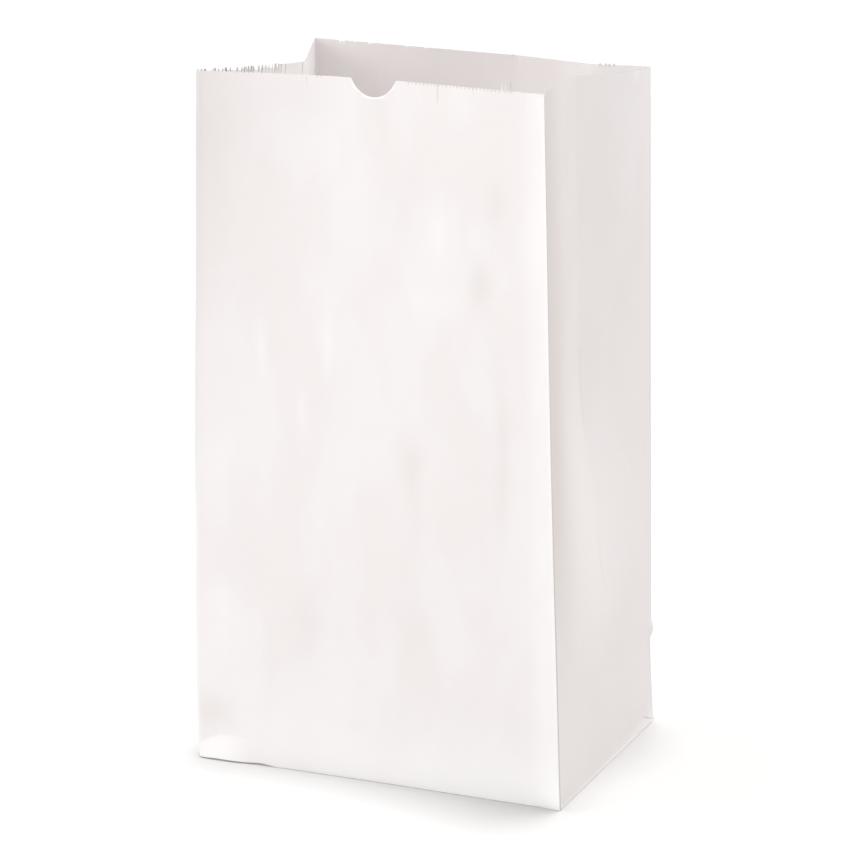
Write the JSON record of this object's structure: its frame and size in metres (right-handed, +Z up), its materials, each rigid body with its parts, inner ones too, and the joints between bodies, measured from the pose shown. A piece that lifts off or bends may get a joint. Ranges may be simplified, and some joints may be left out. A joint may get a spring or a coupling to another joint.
{
  "type": "paper grocery bag",
  "caption": "Empty standing paper grocery bag with a flat bottom, folded side gussets, a cut zigzag rim and a round thumb cut in the front.",
  "frame": {"origin": "centre of the flat bottom, on its underside, where the bag stands", "axes": "+Z up towards the open mouth, -Y towards the front panel with the thumb cut, +X towards the right gusset"},
  "size_m": [0.2111, 0.1762, 0.3785],
  "materials": {
    "white_paper": "matt uncoated bleached kraft paper"
  },
  "bodies": {
    "root": {"paper_bag": "white_paper"}
  },
  "joints": []
}
